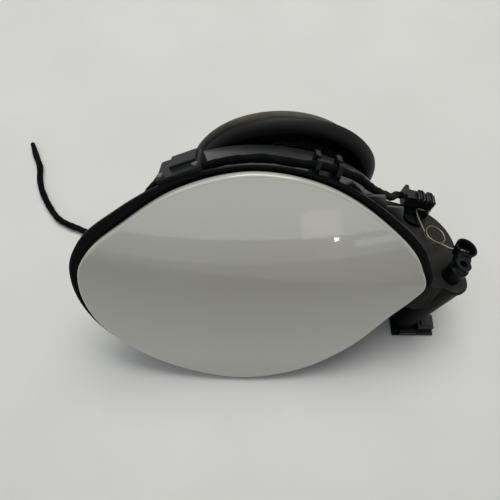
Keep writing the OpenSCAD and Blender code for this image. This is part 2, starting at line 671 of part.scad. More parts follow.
// Two-way plug at the foot of the limb
module lower_plug() {
    color("dimgray") translate(home + lower_at) {
        cube(lower_size);
        translate([2, 2, lower_size[2] - 0.5]) cube([lower_size[0] - 4, lower_size[1] - 5, 2]);
    }
}

// Cradle of the lower plug, with a spigot that is pushed into the limb's hollow end
module plug_cradle() {
    color("darkslategray") {
        translate(home + [112, -6.5, 0]) cube([32, 15.5, 1.5]);
        translate(home + [117, -6.5, 0]) cube([12.5, 3, 7]);
        hinge_frame() translate([0, 0, limb_end - 3.4]) cylinder(h = 14, r = hollow_r - 0.05, $fn = 48);
    }
}

lead_points = [[139.6, 8.8, 7.6], [141.4, 11.6, 10.4], [142, 15, 15], [141.2, 17.8, 21], [140.5, 18.6, 26],
    [139.8, 18.4, 29.6]];
lead_gap = [-2.4, 0, 0];
// Two single wires of the lower plug
module plug_leads() {
    color([0.12, 0.12, 0.12]) translate(home) for (k = [0, 1])
        tube([for (p = eased(lead_points, 2)) p + k * lead_gap], lead_d / 2, 8);
}

// Section of a spring clip, across the tab and along it
clip_section = [[-1.5, -0.7], [1.5, -0.7], [1.5, 1.6], [2.7, 4.4], [2.3, 4.8], [1.5, 3.2], [1.5, 6.4],
    [0.8, 6.4], [0.8, 0], [-0.8, 0], [-0.8, 6.4], [-1.5, 6.4]];
// Spring clips on the bowl's tabs that hold it in the body's opening
module body_clips() {
    color("silver") for (i = clip_places) clip_frame(i)
        rotate([90, 0, 90]) translate([0, 0, -clip_width / 2]) linear_extrude(clip_width) polygon(clip_section);
}

flap_skin();
flap_carrier();
striker_eye();
hinge_arm();
arm_screws();
hinge_pin();
pin_clip();
spring_lever();
toggle_spring();
hinge_bushes();
bowl();
mouth_seal();
bump_stops();
gaiter();
neck_clamp();
hinge_pocket();
actuator_case();
actuator_cover();
actuator_screws();
lock_pin();
lock_seal();
loom_clip();
loom_run();
loom_tail();
upper_plug();
plug_flange();
spring_post();
lower_plug();
plug_cradle();
plug_leads();
body_clips();
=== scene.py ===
import json
import math

import bmesh
import bpy
import numpy as np
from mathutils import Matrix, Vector

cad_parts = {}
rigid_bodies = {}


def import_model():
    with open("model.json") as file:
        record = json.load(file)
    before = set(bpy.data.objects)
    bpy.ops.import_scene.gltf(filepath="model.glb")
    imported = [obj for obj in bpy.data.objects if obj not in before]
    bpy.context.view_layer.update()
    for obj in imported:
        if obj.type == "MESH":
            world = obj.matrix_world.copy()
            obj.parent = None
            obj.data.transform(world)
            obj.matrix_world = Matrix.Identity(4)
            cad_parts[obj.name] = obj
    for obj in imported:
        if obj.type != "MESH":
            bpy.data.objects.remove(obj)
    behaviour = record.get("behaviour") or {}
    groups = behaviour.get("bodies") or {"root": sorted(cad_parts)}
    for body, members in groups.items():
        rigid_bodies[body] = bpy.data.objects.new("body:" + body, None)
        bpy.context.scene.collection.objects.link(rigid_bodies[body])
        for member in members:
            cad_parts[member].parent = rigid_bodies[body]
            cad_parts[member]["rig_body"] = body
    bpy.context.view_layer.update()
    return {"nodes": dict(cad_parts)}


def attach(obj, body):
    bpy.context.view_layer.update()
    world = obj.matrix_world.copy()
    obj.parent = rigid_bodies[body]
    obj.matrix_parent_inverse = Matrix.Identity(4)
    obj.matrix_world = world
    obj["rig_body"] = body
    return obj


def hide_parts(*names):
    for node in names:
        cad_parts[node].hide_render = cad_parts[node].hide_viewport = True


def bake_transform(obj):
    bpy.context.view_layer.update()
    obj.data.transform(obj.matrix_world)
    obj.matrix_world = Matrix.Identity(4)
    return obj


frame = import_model()

# --- Bench, light and camera
# The assembly lies on a plain white bench. Soft daylight comes from above and behind it, so the leaning flap is in
# its own half shade. The camera looks down on it steeply, as the photograph does.


def linear(colour):
    """Linear red, green, blue and alpha of an sRGB hex colour. A channel above 0.04045 has 0.055 added, is divided by
    1.055 and raised to the power 2.4, and a lower one is divided by 12.92."""
    channels = np.array([int(colour[i:i + 2], 16) for i in (1, 3, 5)]) / 255
    low, high = channels / 12.92, ((channels + 0.055) / 1.055) ** 2.4
    return (*np.where(channels > 0.04045, high, low).tolist(), 1.0)


def put(tree, kind, values=(), links=(), **settings):
    """Adds one node: settings are its attributes, values its inputs' constants, and links the outputs that feed its
    inputs."""
    made = tree.nodes.new("ShaderNode" + kind)
    for name, value in settings.items():
        setattr(made, name, value)
    for name, value in dict(values).items():
        made.inputs[name].default_value = value
    for name, output in dict(links).items():
        tree.links.new(output, made.inputs[name])
    return made


def feed(tree, shader, **outputs):
    """Links outputs to the shader's sockets of the same names."""
    for socket, output in outputs.items():
        tree.links.new(output, shader.inputs[socket.replace("_", " ")])


def between(tree, first, second, share):
    """Mix of two colours by a share: the first times one minus the share, plus the second times the share. The first
    is a hex colour or another node's output, the second a hex colour."""
    made = put(tree, "MixRGB", {"Color2": linear(second)}, {"Fac": share})
    if isinstance(first, str):
        made.inputs["Color1"].default_value = linear(first)
    else:
        tree.links.new(first, made.inputs["Color1"])
    return made.outputs["Color"]


def added(name, data):
    """New object of a mesh, a lamp or a camera, in the scene's collection."""
    made = bpy.data.objects.new(name, data)
    bpy.context.scene.collection.objects.link(made)
    return made


def start_finish(name, **constants):
    """New material with its shader's constants set, its tree, its shader and the piece's own coordinates in metres."""
    finish = bpy.data.materials.new(name)
    finish.use_nodes = True
    tree = finish.node_tree
    shader = tree.nodes["Principled BSDF"]
    for socket, value in constants.items():
        shader.inputs[socket.replace("_", " ")].default_value = value
    where = put(tree, "TexCoord").outputs["Object"]
    return finish, tree, shader, where


# A painted laminate top: flat white with a very faint mottle that keeps it from looking drawn
bench_paint, tree, shader, where = start_finish("bench_laminate", Roughness=0.55, Specular_IOR_Level=0.3)
mottle = put(tree, "TexNoise", {"Scale": 9.0, "Detail": 3.0}, {"Vector": where})
feed(tree, shader, Base_Color=between(tree, "#D6D7D2", "#E6E6E2", mottle.outputs["Fac"]))

bench_mesh = bpy.data.meshes.new("bench")
bench_mesh.from_pydata([(-4, -4, 0), (4, -4, 0), (4, 4, 0), (-4, 4, 0)], [], [(0, 1, 2, 3)])
bench_mesh.materials.append(bench_paint)
bench = added("bench", bench_mesh)
bench.location.z = -0.0002

# The room is pale where it is seen or mirrored, and a dimmer grey where it only lights
world = bpy.data.worlds.new("daylight_room")
bpy.context.scene.world = world
world.use_nodes = True
room = world.node_tree.nodes["Background"]
rays = put(world.node_tree, "LightPath")
mirrored = put(world.node_tree, "Math", links={0: rays.outputs["Is Camera Ray"], 1: rays.outputs["Is Glossy Ray"]},
               operation="MAXIMUM")
direct = put(world.node_tree, "Math", links={0: mirrored.outputs["Value"], 1: rays.outputs["Is Transmission Ray"]},
             operation="MAXIMUM")
feed(world.node_tree, room, Color=between(world.node_tree, "#62656A", "#DEDFDB", direct.outputs["Value"]))
room.inputs["Strength"].default_value = 1.0

# Daylight from above, and a window in front that the flap's upper half mirrors. The window's three small brighter
# parts only show in the gloss of the flap. Each lamp has its place, its aim, its size in metres and its watts
for name, place, aim, size, power, colour in (
        ("skylight", (0.12, 0.6, 1.5), (-0.02, 0.0, 0.05), (1.1, 0.9), 17.2, "#FFFDF8"),
        ("ceiling", (-0.7, 0.1, 1.5), (-0.02, 0.0, 0.05), (1.2, 1.2), 5.0, "#F6FAFF"),
        ("window", (-0.02, -1.5, 0.46), (-0.02, -0.04, 0.1), (1.9, 0.5), 3.7, "#FFFFFF"),
        ("window_pane", (0.385, -1.485, 0.29), (0.05, -0.03, 0.12), (0.22, 0.17), 0.1, "#FFFBF0"),
        ("window_sill", (0.75, -1.485, 0.15), (0.08, -0.03, 0.12), (0.34, 0.045), 0.06, "#FFFFFF"),
        ("window_gap", (0.466, -1.48, 0.19), (0.05, -0.03, 0.12), (0.03, 0.016), 0.04, "#FFFFFF")):
    lamp = bpy.data.lights.new(name, "AREA")
    lamp.shape, lamp.size, lamp.size_y, lamp.energy, lamp.color = "RECTANGLE", *size, power, linear(colour)[:3]
    lit = added(name, lamp)
    lit.location = place
    lit.rotation_euler = (Vector(aim) - Vector(place)).to_track_quat("-Z", "Y").to_euler()
    lit.visible_camera = False

# Two boards that only reflections see, so that the gloss of the flap breaks at its crease: painted reflections, a grey
# one upright in front, and a black one on the bench before it, painted shade that fades to the bench's white towards
# the flap. Both start at y -0.6, and the last numbers are the y of the other edge and the heights of both edges
for name, dark, pale, near_end, far_y, low, high in (
        ("board_upright", "#8C8D8E", "#949595", 10.0, -0.6, 0.0, 0.085),
        ("board_flat", "#060607", "#0A0A0B", -0.12, -0.1, 0.0005, 0.0005)):
    # Each board's finish is a painted reflection: its dark colour stands in for shade that the flap's gloss mirrors
    painted_reflection, tree, shader, where = start_finish(name + "_felt", Roughness=1.0, Specular_IOR_Level=0.0)
    shade_noise = put(tree, "TexNoise", {"Scale": 40.0}, {"Vector": where})
    painted_shade = between(tree, dark, pale, shade_noise.outputs["Fac"])
    split = put(tree, "SeparateXYZ", links={"Vector": where})
    near = put(tree, "MapRange", {"From Min": -0.46, "From Max": near_end}, {"Value": split.outputs["Y"]})
    feed(tree, shader, Base_Color=between(tree, painted_shade, "#EFEFEB", near.outputs["Result"]))
    mesh = bpy.data.meshes.new(name)
    mesh.from_pydata([(-2, -0.6, low), (2, -0.6, low), (2, far_y, high), (-2, far_y, high)], [], [(0, 1, 2, 3)])
    mesh.materials.append(painted_reflection)
    board = added(name, mesh)
    board.visible_camera = board.visible_diffuse = board.visible_transmission = board.visible_shadow = False

lens = bpy.data.cameras.new("camera")
lens.sensor_width, lens.lens, lens.clip_start = 36.0, 34.56, 0.01
camera = added("camera", lens)
camera.location = (-0.0195, -0.1387, 0.3748)
camera.rotation_euler = (Vector((-0.0195, -0.0228, 0.1145)) - camera.location).to_track_quat("-Z", "Y").to_euler()
bpy.context.scene.camera = camera
bpy.context.scene.view_settings.view_transform = "Standard"

# --- Taped loom: the loose tail and the run to the plug
# A bundle of thin wires wound in black fleece tape, 5.6 mm thick. The tail leaves the lock behind the flange and
# lies loose on the bench; the run is held by a clip and ends in the plug on the hinge side.

# The shift that brings the drawing to the part's origin, the flap's lean and its middle's height, the loom's radius,
# and the tape's turn, its step at each lap and the points round it. Lengths that aren't metres are mm
HOME = np.array([-19.5, -39.3, 0.0])
LEAN = math.radians(60)
REST_HEIGHT = 85.95
LOOM_R = 2.8
TAPE_PITCH, TAPE_STEP, TAPE_COLUMNS = 7.0, 0.22, 20


def panel(points):
    """Points across, up and out of the flap's face in mm: leant back about the long side, lifted, and given in the
    part's metres."""
    x, y, z = np.moveaxis(np.asarray(points, float), -1, 0)
    c, s = math.cos(LEAN), math.sin(LEAN)
    return (np.stack([x, c * y - s * z, s * y + c * z + REST_HEIGHT], -1) + HOME) / 1000


def eased(points, steps):
    """Smooth open route through the points: Catmull-Rom cubics, with so many steps between neighbours."""
    p = np.asarray(points, float)
    a, b, c, d = np.vstack([p[:1], p[:-2]]), p[:-1], p[1:], np.vstack([p[2:], p[-1:]])
    t = (np.arange(steps) / steps)[None, :, None]
    a, b, c, d = (q[:, None, :] for q in (a, b, c, d))
    curve = 0.5 * (2 * b + (c - a) * t + (2 * a - 5 * b + 4 * c - d) * t ** 2 + (3 * b - a - 3 * c + d) * t ** 3)
    return np.vstack([curve.reshape(-1, 3), p[-1:]])


def surface(name, points, round_rows=False):
    """Closed surface on a grid of points, whose columns run round: quads between rows, the last row joined to the
    first or both ends closed by one face. The UV map counts the grid's columns and rows from 0 to 1."""
    rows, columns = points.shape[:2]
    r, c = np.meshgrid(np.arange(rows if round_rows else rows - 1), np.arange(columns), indexing="ij")
    corners = np.array([(r, c), (r, c + 1), (r + 1, c + 1), (r + 1, c)])
    quads = (corners[:, 0] % rows * columns + corners[:, 1] % columns).reshape(4, -1).T
    faces = quads.tolist()
    uv = np.stack([corners[:, 1] / columns, corners[:, 0] / max(rows - 1, 1)], -1).reshape(4, -1, 2)
    uv = uv.transpose(1, 0, 2).reshape(-1, 2)
    if not round_rows:
        faces += [list(range(columns))[::-1], list(range((rows - 1) * columns, rows * columns))]
        uv = np.vstack([uv, np.zeros((columns, 2)), np.ones((columns, 2))])
    mesh = bpy.data.meshes.new(name)
    mesh.from_pydata(points.reshape(-1, 3).tolist(), [], faces)
    mesh.uv_layers.new(name="along").data.foreach_set("uv", uv.ravel().astype(np.float32))
    return outward(name, mesh)


def outward(name, mesh, sharp=40.0):
    """Object of a closed mesh with its faces turned outwards, smooth except over edges sharper than so many degrees."""
    shell = bmesh.new()
    shell.from_mesh(mesh)
    bmesh.ops.recalc_face_normals(shell, faces=shell.faces)
    shell.to_mesh(mesh)
    shell.free()
    mesh.polygons.foreach_set("use_smooth", np.ones(len(mesh.polygons), bool))
    mesh.set_sharp_from_angle(angle=math.radians(sharp))
    return added(name, mesh)


def frames(route):
    """Two directions square to a route at each of its points: the route's own direction crossed with a fixed slanted
    line, and crossed with the result."""
    way = np.gradient(route, axis=0)
    way /= np.linalg.norm(way, axis=1)[:, None]
    side = np.cross(way, (0.31, 0.42, 0.85))
    side /= np.linalg.norm(side, axis=1)[:, None]
    return side, np.cross(way, side)


def tube(name, route, radius, columns):
    """Tube of a route: a circle at each point, square to the route. The radius is one number, one per row or a whole
    grid of rows and columns."""
    side, up = frames(route)
    angle = np.linspace(0, 2 * math.pi, columns, endpoint=False)
    radius = np.asarray(radius, float)
    radius = np.broadcast_to(radius[:, None] if radius.ndim == 1 else radius, (len(route), columns))
    ring = np.cos(angle)[None, :, None] * side[:, None] + np.sin(angle)[None, :, None] * up[:, None]
    return surface(name, route[:, None] + radius[..., None] * ring)


def resampled(route, step):
    """The same route with points so far apart along it, by linear interpolation over its length."""
    along = np.concatenate([[0], np.cumsum(np.linalg.norm(np.diff(route, axis=0), axis=1))])
    count = max(int(round(along[-1] / step)), 4)
    new = np.linspace(0, along[-1], count + 1)
    return np.stack([np.interp(new, along, route[:, k]) for k in range(3)], -1), new


def taped(name, route, taper):
    """Taped bundle: a tube whose radius steps along a helix where each turn of tape laps over the last, with two slow
    waves for the uneven bundle, and an end that closes over the given length where taper is set."""
    route, along = resampled(route, 0.0009)
    angle = np.linspace(0, 1, TAPE_COLUMNS, endpoint=False)
    turn = (along[:, None] * 1000 / TAPE_PITCH + angle[None]) % 1.0
    lap = TAPE_STEP * np.clip(turn / 0.86, 0, 1) - TAPE_STEP * np.clip((turn - 0.86) / 0.14, 0, 1)
    waves = 0.12 * np.sin(along * 410)[:, None] + 0.1 * np.sin(along[:, None] * 173 + 4 * angle[None])
    radius = (LOOM_R - 0.28 + lap + waves) / 1000
    left = np.clip((along[-1] - along) / taper, 0, 1)[:, None]
    radius = radius * (0.55 + 0.45 * np.sqrt(left)) * np.clip(np.sqrt(left * 9), 0.12, 1)
    return tube(name, route, radius, TAPE_COLUMNS)


# Polyester fleece tape: black, fibrous and quite without gloss. The fibres are finer than a pixel, so the nap is drawn
# as soft lumps of about a millimetre
fleece, tree, shader, where = start_finish("fleece_tape", Roughness=0.92, Specular_IOR_Level=0.06,
                                           Sheen_Weight=0.03, Sheen_Roughness=0.4)
nap = put(tree, "TexNoise", {"Scale": 900.0, "Detail": 5.0, "Roughness": 0.7}, {"Vector": where})
patches = put(tree, "TexNoise", {"Scale": 120.0, "Detail": 3.0}, {"Vector": where})
fibres = between(tree, "#030404", "#0B0C0D", nap.outputs["Fac"])
dust = put(tree, "MapRange", {"From Min": 0.45, "From Max": 0.8, "To Max": 0.12}, {"Value": patches.outputs["Fac"]})
raised = put(tree, "Bump", {"Strength": 0.7, "Distance": 0.0004}, {"Height": nap.outputs["Fac"]})
feed(tree, shader, Base_Color=between(tree, fibres, "#3F3D38", dust.outputs["Result"]), Normal=raised.outputs["Normal"])

# Points of the tail as it lies, and of the run across, up and out of the flap's face
TAIL = np.array([
    [-52.3, 59.8, 127.5], [-58, 60.5, 119], [-66.5, 59.5, 106], [-77, 57.5, 91], [-88, 57, 75], [-99, 58.5, 58],
    [-110, 62, 41], [-120, 67, 24], [-130, 74.5, 11], [-139, 81.5, 4.4], [-147.5, 86, 2.9], [-157, 90, 2.9],
    [-167, 96, 2.9], [-175, 105, 2.9], [-182, 116, 2.9], [-188, 128, 2.9], [-191, 138, 2.9],
    [-193, 150, 2.9], [-199, 163, 2.9], [-205, 177, 2.9]])
tail = taped("loom_tail_taped", (eased(TAIL, 8) + HOME) / 1000, 0.012)
tail.data.materials.append(fleece)
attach(tail, "root")
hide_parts("loom_tail")

RUN = np.array([
    [-26.6, 75.2, -24], [-17.5, 78.5, -23.6], [-6, 81, -22], [10, 82, -21], [29, 79, -20.5], [46, 76.4, -21],
    [62.8, 68.4, -24.6], [74, 57.6, -33], [85, 46.5, -44.5], [94, 37.5, -57], [101.5, 29.5, -69], [107, 26.2, -78],
    [113.1, 24.5, -80.4]])
run = taped("loom_run_taped", panel(eased(RUN, 8)), 0.0004)
run.data.materials.append(fleece)
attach(run, "root")
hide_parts("loom_run")

# --- Bowl
# The black moulding that the flap closes: a flange round the mouth, a funnel to the filler neck, wings towards the
# hinge and the guide of the locking pin. Injection moulded in glass-filled plastic, satin outside.

SHARP_EDGE = 35.0


def merged(name, source, edge):
    """A CAD node's shape as a new piece: its loose triangles are joined and flat ones dissolved, and its sharp edges
    are rounded over so many mm, or left as they are at 0."""
    mesh = frame["nodes"][source].data.copy()
    mesh.name = name
    mesh.materials.clear()
    shell = bmesh.new()
    shell.from_mesh(mesh)
    bmesh.ops.remove_doubles(shell, verts=shell.verts, dist=2e-6)
    bmesh.ops.dissolve_limit(shell, angle_limit=math.radians(0.6), verts=shell.verts, edges=shell.edges)
    shell.to_mesh(mesh)
    shell.free()
    made = outward(name, mesh, SHARP_EDGE)
    if edge:
        rounding = made.modifiers.new("edge_radius", "BEVEL")
        rounding.width, rounding.segments, rounding.limit_method = edge / 1000, 2, "ANGLE"
        rounding.angle_limit, rounding.harden_normals = math.radians(SHARP_EDGE), True
    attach(made, frame["nodes"][source]["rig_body"])
    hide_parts(source)
    return made


def moulded(name, colour, worn, roughness, grain, height, **constants):
    """Finish of a moulded plastic: eroded grain of so many mm as bump, and slow patches where dust and handling have
    turned the colour to the worn one and the gloss down."""
    finish, tree, shader, where = start_finish(name, **constants)
    texture = put(tree, "TexNoise", {"Scale": 1000 / grain, "Detail": 4.0, "Roughness": 0.6}, {"Vector": where})
    patches = put(tree, "TexNoise", {"Scale": 45.0, "Detail": 5.0, "Roughness": 0.65}, {"Vector": where})
    dust = put(tree, "MapRange", {"From Min": 0.42, "From Max": 0.72}, {"Value": patches.outputs["Fac"]})
    speckle = put(tree, "Math", {1: 0.6}, {0: texture.outputs["Fac"]}, operation="MULTIPLY")
    share = put(tree, "Math", links={0: dust.outputs["Result"], 1: speckle.outputs["Value"]}, operation="MULTIPLY")
    tone = between(tree, colour, worn, share.outputs["Value"])
    rough = put(tree, "MapRange", {"To Min": roughness, "To Max": min(roughness + 0.22, 0.95)},
                {"Value": share.outputs["Value"]})
    raised = put(tree, "Bump", {"Strength": 0.5, "Distance": height / 1000}, {"Height": texture.outputs["Fac"]})
    feed(tree, shader, Base_Color=tone, Roughness=rough.outputs["Result"], Normal=raised.outputs["Normal"])
    return finish


def metal(name, scale, detail, dark, pale, smooth, rough):
    """Finish of a bare or plated metal: marks of fine noise share out two colours and two roughnesses."""
    finish, tree, shader, where = start_finish(name, Metallic=1.0)
    marks = put(tree, "TexNoise", {"Scale": scale, "Detail": detail}, {"Vector": where})
    tone = between(tree, dark, pale, marks.outputs["Fac"])
    gloss = put(tree, "MapRange", {"To Min": smooth, "To Max": rough}, {"Value": marks.outputs["Fac"]})
    feed(tree, shader, Base_Color=tone, Roughness=gloss.outputs["Result"])
    return finish


def dress(source, finish):
    """Gives a CAD node that stays as it is the finish of the real piece."""
    mesh = frame["nodes"][source].data
    mesh.materials.clear()
    mesh.materials.append(finish)


def parted(made, way, level):
    """Gives a piece's second finish to the faces whose middles, times a direction, come to more than a level."""
    middles = np.empty(3 * len(made.data.polygons), np.float32)
    made.data.polygons.foreach_get("center", middles)
    beyond = middles.reshape(-1, 3) @ way > level
    made.data.polygons.foreach_set("material_index", beyond.astype(np.int32))
    made.data.update()


# Glass-filled plastic: near-black walls with a broad satin sheen, and a quite matt, spark-eroded flange in front of
# them, as far as 14.21 mm behind the flap's face
PANEL_OUT = np.array([0.0, -math.sin(LEAN), math.cos(LEAN)])
FLANGE_BACK = -14.21
polished_plastic = moulded("satin_black_plastic", "#05070A", "#0D1013", 0.4, 1.4, 0.04, Specular_IOR_Level=1.0)
eroded_plastic = moulded("eroded_black_plastic", "#05070A", "#0D1013", 0.4, 1.4, 0.04, Specular_IOR_Level=0.06)
bowl = merged("bowl_moulding", "bowl", 0.45)
bowl.data.materials.append(polished_plastic)
bowl.data.materials.append(eroded_plastic)
parted(bowl, PANEL_OUT, float(panel([0, 0, FLANGE_BACK]) @ PANEL_OUT))

# Soft thermoplastic lip and stops: dull black
seal_rubber = moulded("soft_seal_rubber", "#030404", "#090A0A", 0.55, 1.0, 0.03, Specular_IOR_Level=0.08)
dress("mouth_seal", seal_rubber)
dress("bump_stops", seal_rubber)

# Hardened spring strip, tan from its oil: the four clips on the bowl's tabs, and the toggle spring's wire
spring_steel = metal("oiled_spring_steel", 700.0, 3.0, "#514B41", "#7C7364", 0.32, 0.52)
dress("body_clips", spring_steel)

# --- Gaiter
# A soft rubber funnel that seals the bowl to the filler neck. Its outer wall turns forward into an open lip, so there
# is a deep groove round the bowl's collar. A sprung steel band clamps it to the collar.

# X and Z of the middles of the neck and the lip, how far the crown between them leans, and the wall's section: the
# share of the way from neck to lip, the radius and the place along the neck, in mm
NECK, LIP, CROWN_LEAN = np.array([26.0, 59.0]), np.array([26.0, 66.4]), np.array([-23.0, 8.0])
GAITER = np.array([
    [0, 46.6, 95.2], [0, 47.4, 94.6], [0, 50.2, 94.5], [0, 51.2, 95.0], [0, 51.1, 95.6], [0, 49.9, 95.9],
    [0, 49.7, 97.5], [0, 49.7, 105.0], [0, 49.9, 111.0], [0.2, 51.6, 113.0], [0.45, 54.8, 112.4], [0.7, 58.4, 107.5],
    [0.85, 60.2, 103.6], [0.95, 60.4, 100.4], [1, 59.8, 98.2], [1, 58.6, 96.4], [1, 58.0, 94.8], [1, 58.1, 93.6],
    [1, 59.2, 92.9], [1, 61.2, 93.2], [1, 63.4, 94.4], [1, 65.2, 96.2], [1, 66.3, 98.4], [1, 66.4, 100.2],
    [0.9, 65.8, 101.6], [0.8, 65.2, 103.2], [0.65, 64.3, 106.0], [0.5, 62.6, 109.4],
    [0.35, 59.8, 113.2], [0.2, 55.4, 116.9], [0.1, 51.6, 118.0], [0.05, 46, 118.3], [0, 38, 118.4], [0, 34, 118.2],
    [0, 30.6, 117.0], [0, 30.1, 114.6], [0, 30.6, 112.9], [0, 35, 114.6], [0, 40, 114.9], [0, 45, 114.4],
    [0, 46.6, 112.5], [0, 46.6, 104.0]])


def closed_curve(points, steps):
    """Smooth closed curve: cubics between neighbours. The tangent at a point is the mean of the directions of its two
    sides, each weighted by the other side's length."""
    p = np.asarray(points, float)
    after = np.roll(p, -1, 0) - p
    v = np.linalg.norm(after, axis=1)[:, None]
    u = np.roll(v, 1, 0)
    tangent = (np.roll(after, 1, 0) / u * v + after / v * u) / (u + v)
    t = (np.arange(steps) / steps)[None, :, None]
    q, n = np.roll(p, -1, 0)[:, None], np.roll(tangent, -1, 0)[:, None]
    p, m, d = p[:, None], tangent[:, None], v[:, None]
    curve = (2 * t ** 3 - 3 * t ** 2 + 1) * p + (t ** 3 - 2 * t ** 2 + t) * d * m
    curve = curve + (3 * t ** 2 - 2 * t ** 3) * q + (t ** 3 - t ** 2) * d * n
    return curve.reshape(-1, points.shape[1])


section = closed_curve(GAITER, 4)
round_angle = np.linspace(0, 2 * math.pi, 144, endpoint=False)
forth, radius, along_neck = section[:, :1], section[:, 1:2], section[:, 2:3]
centre = (1 - forth) * NECK + forth * LIP + CROWN_LEAN * forth * (1 - forth)
give = forth * (0.22 * np.sin(3 * round_angle + 1) + 0.14 * np.sin(7 * round_angle))
reach = radius - 0.3 * forth + give
gaiter = surface("gaiter_moulding", (np.stack([
    centre[:, :1] + reach * np.cos(round_angle),
    np.broadcast_to(along_neck, reach.shape),
    centre[:, 1:] + reach * np.sin(round_angle)], -1) + HOME) / 1000, round_rows=True)

# Moulded EPDM rubber: black with a faint bloom, and road dust dried brown on the crown's upper left
gaiter_rubber, tree, shader, where = start_finish("epdm_rubber", Specular_IOR_Level=0.2)
pores = put(tree, "TexNoise", {"Scale": 800.0, "Detail": 4.0}, {"Vector": where})
patches = put(tree, "TexNoise", {"Scale": 55.0, "Detail": 6.0, "Roughness": 0.7}, {"Vector": where})
split = put(tree, "SeparateXYZ", links={"Vector": where})
leftward = put(tree, "MapRange", {"From Min": 0.06, "From Max": 0.015}, {"Value": split.outputs["X"]})
upward = put(tree, "MapRange", {"From Min": 0.07, "From Max": 0.1}, {"Value": split.outputs["Z"]})
behind = put(tree, "MapRange", {"From Min": 0.0615, "From Max": 0.0645}, {"Value": split.outputs["Y"]})
side = put(tree, "Math", links={0: leftward.outputs["Result"], 1: upward.outputs["Result"]}, operation="MULTIPLY")
crown = put(tree, "Math", links={0: side.outputs["Value"], 1: behind.outputs["Result"]}, operation="MULTIPLY")
cake = put(tree, "MapRange", {"From Min": 0.3, "From Max": 0.62}, {"Value": patches.outputs["Fac"]})
share = put(tree, "Math", links={0: crown.outputs["Value"], 1: cake.outputs["Result"]}, operation="MULTIPLY")
bloom = between(tree, "#040505", "#0C0E0F", patches.outputs["Fac"])
tone = between(tree, bloom, "#463F34", share.outputs["Value"])
rough = put(tree, "MapRange", {"To Min": 0.42, "To Max": 0.62}, {"Value": patches.outputs["Fac"]})
raised = put(tree, "Bump", {"Strength": 0.35, "Distance": 0.00015}, {"Height": pores.outputs["Fac"]})
feed(tree, shader, Base_Color=tone, Roughness=rough.outputs["Result"], Normal=raised.outputs["Normal"])
gaiter.data.materials.append(gaiter_rubber)
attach(gaiter, "root")
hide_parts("gaiter")

# Stainless and ground steel: bright, with faint grinding marks drawn at half a millimetre
bright_steel = metal("ground_bright_steel", 1600.0, 3.0, "#8F9194", "#C4C5C6", 0.2, 0.36)
for source in ("neck_clamp", "pin_clip", "lock_pin"):
    dress(source, bright_steel)

# --- Hinge pocket and limb
# The moulded box behind the body panel in which the swan-neck arm swings. It carries the pin in two pale bushes, and
# the long hollow limb runs down from it. Matt glass-filled plastic, dusty grey-brown where it is flat.

HINGE_AT = np.array([142.2, 5.5, -22.0])
HINGE_TILT, HINGE_TURN = math.radians(-73), math.radians(-16)


def about_x(angle):
    """Matrix of a turn about the X axis."""
    c, s = math.cos(angle), math.sin(angle)
    return np.array([[1, 0, 0], [0, c, -s], [0, s, c]])


def about_z(angle):
    """Matrix of a turn about the Z axis."""
    c, s = math.cos(angle), math.sin(angle)
    return np.array([[c, -s, 0], [s, c, 0], [0, 0, 1]])


PIN_AXES = about_x(LEAN) @ about_z(HINGE_TURN) @ about_x(HINGE_TILT)
PIN_PLACE = panel(HINGE_AT)


def hinge(points):
    """Points in mm on the pin's own axes, z along the pin, turned and moved to the pin's place in the part's metres."""
    return np.asarray(points, float) @ PIN_AXES.T / 1000 + PIN_PLACE


def turned(name, profile):
    """Ring turned on the pin's axis: a closed outline of radius and height in mm, carried round it in 48 steps."""
    profile = np.asarray(profile, float)
    a = np.linspace(0, 2 * math.pi, 48, endpoint=False)
    grid = np.stack([profile[:, :1] * np.cos(a), profile[:, :1] * np.sin(a),
                     np.broadcast_to(profile[:, 1:2], (len(profile), len(a)))], -1)
    return surface(name, hinge(grid), round_rows=True)


def reshaped(made, change):
    """Moves a piece's points on the pin's own axes: change takes their places in mm and gives the new ones."""
    flat = np.empty(3 * len(made.data.vertices), np.float32)
    made.data.vertices.foreach_get("co", flat)
    places = (flat.reshape(-1, 3) - PIN_PLACE) * 1000 @ PIN_AXES
    made.data.vertices.foreach_set("co", hinge(change(places)).astype(np.float32).ravel())
    made.data.update()


# Glass-filled plastic again: dusty on the flat plate at the top, clean and darker on the walls and the limb below it
PLATE_BACK = -16.4
wall_plastic = moulded("clean_pocket_plastic", "#080909", "#10100F", 0.42, 1.3, 0.05, Specular_IOR_Level=0.06)
plate_plastic = moulded("dusty_pocket_plastic", "#141413", "#37342F", 0.42, 1.3, 0.05, Specular_IOR_Level=0.2)
pocket = merged("hinge_pocket_moulding", "hinge_pocket", 0.5)
pocket.data.materials.append(wall_plastic)
pocket.data.materials.append(plate_plastic)
parted(pocket, PIN_AXES[:, 2], float(hinge([0, 0, PLATE_BACK]) @ PIN_AXES[:, 2]))

# A low ring moulded round the limb just under the plate
top_ring = turned("limb_top_ring", [(12.0, PLATE_BACK), (13.3, PLATE_BACK), (13.7, -16.8), (13.7, -18.2),
                                    (13.4, -18.6), (12.0, -18.6)])
top_ring.data.materials.append(wall_plastic)
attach(top_ring, "root")

# Acetal, natural white and waxy
bush_acetal = moulded("natural_acetal", "#C9C3B2", "#8F8774", 0.4, 1.0, 0.02, Specular_IOR_Level=0.45)
dress("hinge_bushes", bush_acetal)

# --- Swan-neck arm
# The curved arm that carries the flap round the edge of the body panel: glass-filled nylon on the ground pin, held to
# the flap's carrier by two zinc-plated screws.

# Glass-filled nylon: black, with a little dust in its grain
arm_nylon = moulded("glass_filled_nylon", "#060708", "#151514", 0.38, 1.2, 0.05, Specular_IOR_Level=0.2)
arm = merged("hinge_arm_moulding", "hinge_arm", 0.6)
arm.data.materials.append(arm_nylon)

